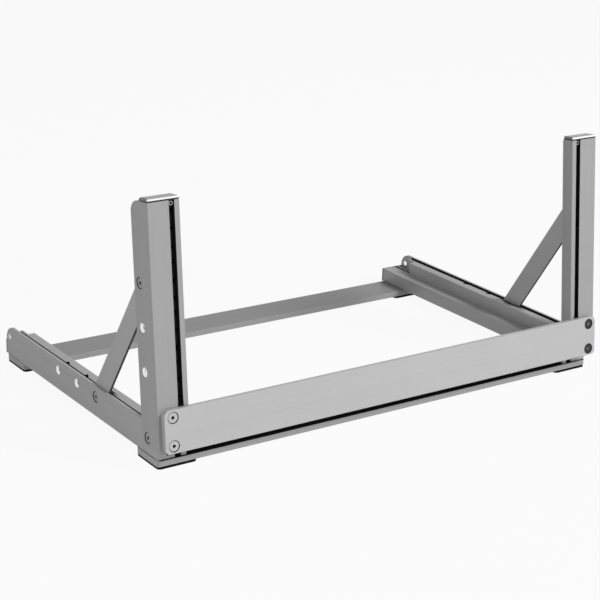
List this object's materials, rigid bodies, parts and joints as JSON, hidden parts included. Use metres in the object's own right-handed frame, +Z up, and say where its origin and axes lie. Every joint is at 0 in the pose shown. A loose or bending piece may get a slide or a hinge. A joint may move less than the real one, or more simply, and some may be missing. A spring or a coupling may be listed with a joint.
{
  "type": "desktop rack stand",
  "caption": "Low desktop stand for 19-inch rack units: leaning slotted uprights on slotted legs, tied by a front panel, crossbars and slanting braces.",
  "frame": {"origin": "on the floor under the middle of the overall box", "axes": "+Z up, -Y to the front of the stand, where the panel is, +X to the right seen from the back of the origin towards +Y"},
  "size_m": [0.5124, 0.3266, 0.2426],
  "materials": {
    "aluminium": "fine brushed, clear anodised",
    "cap": "moulded grey, slightly glossy",
    "bright_steel": "bright plated",
    "black_steel": "blackened steel",
    "rubber": "matt black"
  },
  "bodies": {
    "root": {"left_upright": "aluminium", "right_upright": "aluminium", "left_leg": "aluminium", "right_leg": "aluminium", "left_brace": "aluminium", "right_brace": "aluminium", "front_panel": "aluminium", "front_crossbar": "aluminium", "rear_crossbar": "aluminium", "left_top_cap": "cap", "right_top_cap": "cap", "left_leg_cap": "cap", "right_leg_cap": "cap", "brace_spacers": "bright_steel", "upper_brace_screws": "bright_steel", "upper_brace_nuts": "bright_steel", "lower_brace_screws": "bright_steel", "pivot_screws": "bright_steel", "pivot_spacers": "bright_steel", "panel_screws": "bright_steel", "crossbar_screws": "bright_steel", "nut_strip_set_screws": "bright_steel", "crossbar_nuts": "black_steel", "left_nut_strip": "black_steel", "right_nut_strip": "black_steel", "front_left_foot": "rubber", "front_right_foot": "rubber", "rear_left_foot": "rubber", "rear_right_foot": "rubber"}
  },
  "joints": []
}
